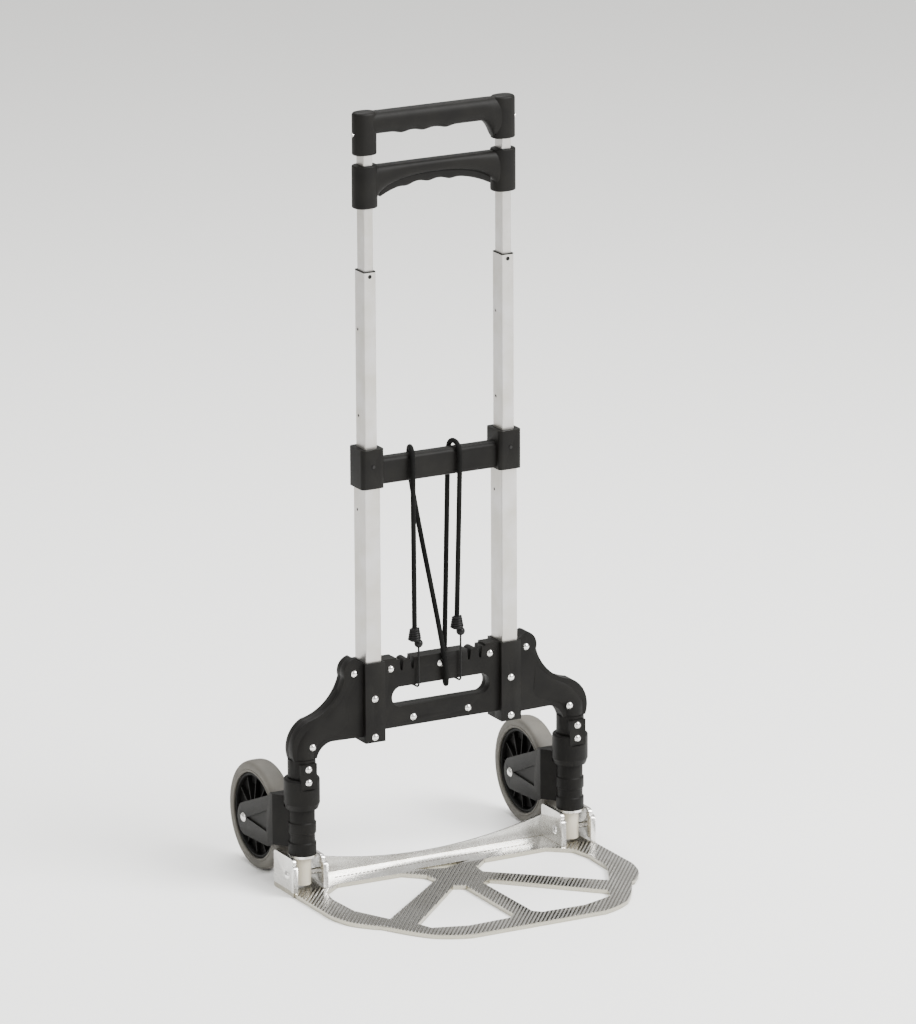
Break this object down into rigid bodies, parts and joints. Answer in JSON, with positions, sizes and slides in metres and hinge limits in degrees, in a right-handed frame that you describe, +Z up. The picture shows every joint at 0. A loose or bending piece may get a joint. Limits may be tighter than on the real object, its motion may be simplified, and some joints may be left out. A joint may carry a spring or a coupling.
{
  "type": "folding hand truck",
  "caption": "Folding luggage hand truck with telescoping handle, fold-up cast toe plate, swing-in wheels and a bungee cord.",
  "frame": {"origin": "centre of the footprint at floor level, unfolded with the handle fully extended", "axes": "+Z up, +X to the right seen from the front, -Y towards the toe plate's front edge, +Y towards the wheels"},
  "size_m": [0.476, 0.4782, 1.06],
  "materials": {
    "anodised_tube": "satin anodised",
    "cast_plate": "bright cast, machine polished",
    "black_nylon": "moulded glass-filled nylon, satin",
    "rim_nylon": "moulded nylon, satin",
    "grey_tyre": "thermoplastic rubber, matt",
    "cream_nylon": "natural nylon, smooth",
    "bright_steel": "bright plated",
    "black_steel": "black oxide",
    "cord_braid": "braided cover over elastic",
    "coated_wire": "black vinyl-coated wire"
  },
  "bodies": {
    "frame": {"base_front_shell": "black_nylon", "base_rear_shell": "black_nylon", "base_rivets": "bright_steel", "left_outer_tube": "anodised_tube", "right_outer_tube": "anodised_tube", "tube_bracket": "black_nylon", "bracket_screws": "black_steel", "left_post_ring": "black_nylon", "right_post_ring": "black_nylon", "left_post_pin": "bright_steel", "right_post_pin": "bright_steel", "left_thrust_disc": "cast_plate", "right_thrust_disc": "cast_plate", "left_hinge_barrel": "cream_nylon", "right_hinge_barrel": "cream_nylon", "bungee_cord": "cord_braid", "left_cord_ferrule": "coated_wire", "left_cord_bead": "coated_wire", "left_cord_hook": "coated_wire", "right_cord_ferrule": "coated_wire", "right_cord_bead": "coated_wire", "right_cord_hook": "coated_wire"},
    "middle_stage": {"left_middle_tube": "anodised_tube", "right_middle_tube": "anodised_tube", "left_stage_bush": "black_nylon", "right_stage_bush": "black_nylon", "middle_tube_plugs": "cream_nylon"},
    "inner_stage": {"left_inner_tube": "anodised_tube", "right_inner_tube": "anodised_tube", "inner_tube_plugs": "cream_nylon", "release_front_shell": "black_nylon", "release_rear_shell": "black_nylon", "top_handle": "black_nylon", "handle_screws": "bright_steel"},
    "release": {"release_trigger": "black_nylon", "release_rods": "bright_steel", "release_springs": "bright_steel"},
    "left_lock": {"left_lock_pin": "bright_steel"},
    "right_lock": {"right_lock_pin": "bright_steel"},
    "toe": {"toe_plate": "cast_plate", "left_hinge_bolt": "bright_steel", "left_hinge_nut": "bright_steel", "right_hinge_bolt": "bright_steel", "right_hinge_nut": "bright_steel"},
    "left_fork": {"left_wheel_fork": "black_nylon", "left_fork_bush": "cream_nylon", "left_axle_bolt": "bright_steel", "left_axle_nut": "bright_steel"},
    "left_wheel": {"left_tyre": "grey_tyre", "left_rim": "rim_nylon", "left_wheel_bushes": "cream_nylon"},
    "right_fork": {"right_wheel_fork": "black_nylon", "right_fork_bush": "cream_nylon", "right_axle_bolt": "bright_steel", "right_axle_nut": "bright_steel"},
    "right_wheel": {"right_tyre": "grey_tyre", "right_rim": "rim_nylon", "right_wheel_bushes": "cream_nylon"}
  },
  "joints": [
    {"name": "middle_slide", "type": "slide", "parent": "frame", "child": "middle_stage", "axis": [0, 0, -1], "range_m": [0, 0.24]},
    {"name": "inner_slide", "type": "slide", "parent": "middle_stage", "child": "inner_stage", "axis": [0, 0, -1], "range_m": [0, 0.083]},
    {"name": "trigger_squeeze", "type": "slide", "parent": "inner_stage", "child": "release", "axis": [0, 0, 1], "range_m": [0, 0.006], "stiffness_N_per_m": 400, "springref_m": -0.006, "deforming": ["release_springs"]},
    {"name": "left_lock_slide", "type": "slide", "parent": "inner_stage", "child": "left_lock", "axis": [-1, 0, 0], "range_m": [0, 0.0015]},
    {"name": "right_lock_slide", "type": "slide", "parent": "inner_stage", "child": "right_lock", "axis": [1, 0, 0], "range_m": [0, 0.0015]},
    {"name": "toe_fold", "type": "hinge", "parent": "frame", "child": "toe", "pos_m": [0, 0.0469, 0.025], "axis": [-1, 0, 0], "range_deg": [0, 85]},
    {"name": "left_fork_swing", "type": "hinge", "parent": "frame", "child": "left_fork", "pos_m": [-0.2055, 0.0469, 0.1], "axis": [0, 0, -1], "range_deg": [0, 90]},
    {"name": "left_wheel_spin", "type": "hinge", "parent": "left_fork", "child": "left_wheel", "pos_m": [-0.2055, 0.1641, 0.075], "axis": [1, 0, 0], "continuous": true},
    {"name": "right_fork_swing", "type": "hinge", "parent": "frame", "child": "right_fork", "pos_m": [0.2055, 0.0469, 0.1], "axis": [0, 0, 1], "range_deg": [0, 90]},
    {"name": "right_wheel_spin", "type": "hinge", "parent": "right_fork", "child": "right_wheel", "pos_m": [0.2055, 0.1641, 0.075], "axis": [1, 0, 0], "continuous": true}
  ],
  "couplings": [
    {"joint": "left_fork_swing", "follows": "toe_fold", "ratio": 1.0588},
    {"joint": "right_fork_swing", "follows": "toe_fold", "ratio": 1.0588},
    {"joint": "left_lock_slide", "follows": "trigger_squeeze", "ratio": 0.25},
    {"joint": "right_lock_slide", "follows": "trigger_squeeze", "ratio": 0.25}
  ]
}
